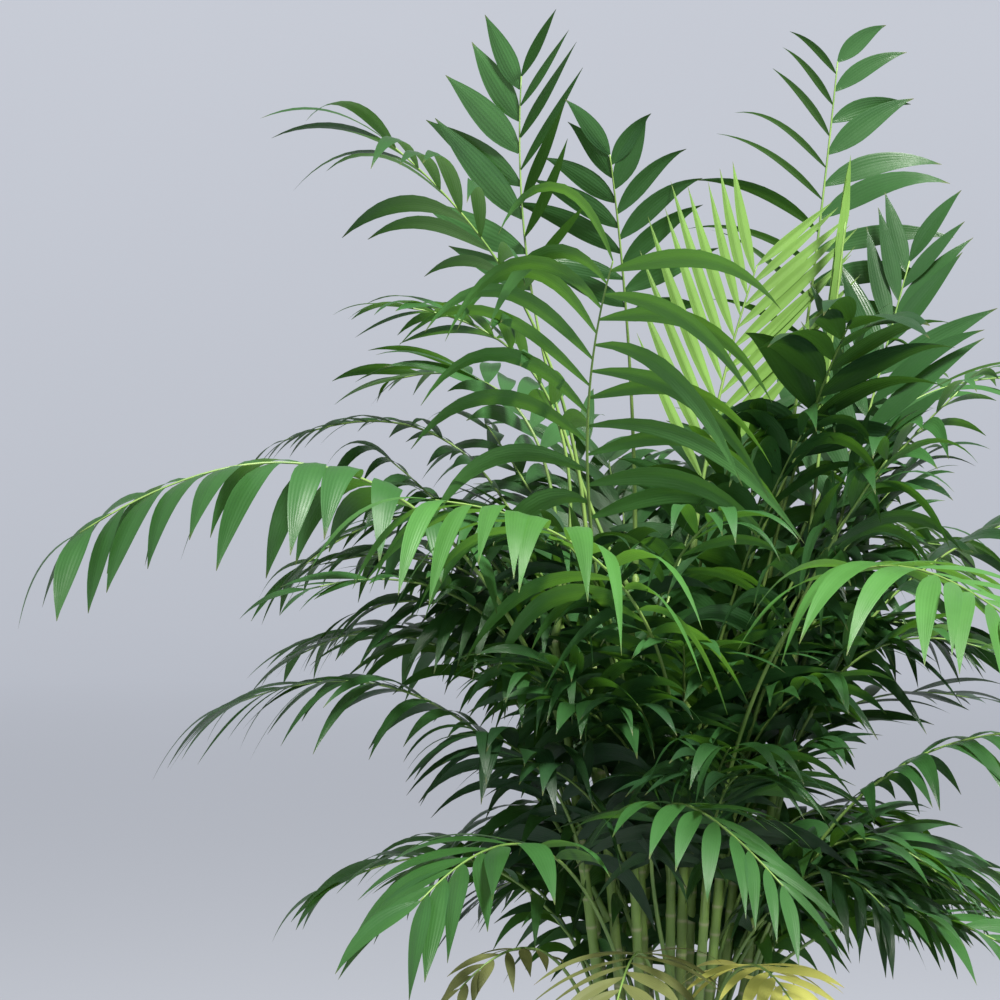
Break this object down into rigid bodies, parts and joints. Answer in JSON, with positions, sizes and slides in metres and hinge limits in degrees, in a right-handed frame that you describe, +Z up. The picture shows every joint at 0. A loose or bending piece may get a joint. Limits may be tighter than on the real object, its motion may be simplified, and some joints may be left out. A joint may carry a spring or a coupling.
{
  "type": "potted bamboo palm",
  "caption": "Whole bamboo palm: a clump of thin leaning canes with arching feathery fronds, in a plain round tapered pot.",
  "frame": {"origin": "centre of the pot's flat underside, on the surface that the pot stands on", "axes": "+Z up along the pot's axis; the plant's front, as pictured, faces -Y; +X is the viewer's right"},
  "size_m": [1.1118, 1.0053, 1.3459],
  "materials": {
    "pot": "matte",
    "potting_mix": "matte",
    "canes": "satin",
    "fronds": "satin",
    "young_fronds": "satin",
    "old_frond": "matte",
    "dying_frond": "matte"
  },
  "bodies": {
    "root": {"cane_01": "canes", "cane_02": "canes", "cane_03": "canes", "cane_04": "canes", "cane_05": "canes", "cane_06": "canes", "cane_07": "canes", "cane_08": "canes", "cane_09": "canes", "cane_10": "canes", "cane_11": "canes", "cane_12": "canes", "cane_13": "canes", "cane_14": "canes", "frond_centre_left_near": "fronds", "frond_centre_near": "fronds", "frond_left_long": "fronds", "frond_left_low": "fronds", "frond_left_mid": "fronds", "frond_left_mid_lower": "fronds", "frond_left_mid_upper": "fronds", "frond_left_upper": "fronds", "frond_left_upper_back": "fronds", "frond_low_centre_near": "fronds", "frond_low_front_dying": "dying_frond", "frond_low_front_pale": "fronds", "frond_low_left_brown": "old_frond", "frond_low_left_near": "fronds", "frond_right_broad": "fronds", "frond_right_high": "fronds", "frond_right_low": "fronds", "frond_right_lowest": "fronds", "frond_right_lowest_back": "fronds", "frond_right_mid": "fronds", "frond_right_near": "fronds", "frond_right_upright": "fronds", "frond_spear": "young_fronds", "frond_top_centre": "fronds", "frond_top_left": "fronds", "frond_top_left_arched": "fronds", "frond_top_right": "fronds", "frond_young_fan": "young_fronds", "inner_mass_1": "fronds", "inner_mass_2": "fronds", "inner_mass_3": "fronds", "low_mass_1": "fronds", "low_mass_2": "fronds", "low_mass_3": "fronds", "low_mass_4": "fronds", "middle_mass_1": "fronds", "middle_mass_2": "fronds", "middle_mass_3": "fronds", "middle_mass_4": "fronds", "middle_mass_5": "fronds", "pot": "pot", "potting_mix": "potting_mix", "upper_mass_1": "fronds", "upper_mass_2": "fronds", "upper_mass_3": "fronds", "upper_mass_4": "fronds"}
  },
  "joints": []
}
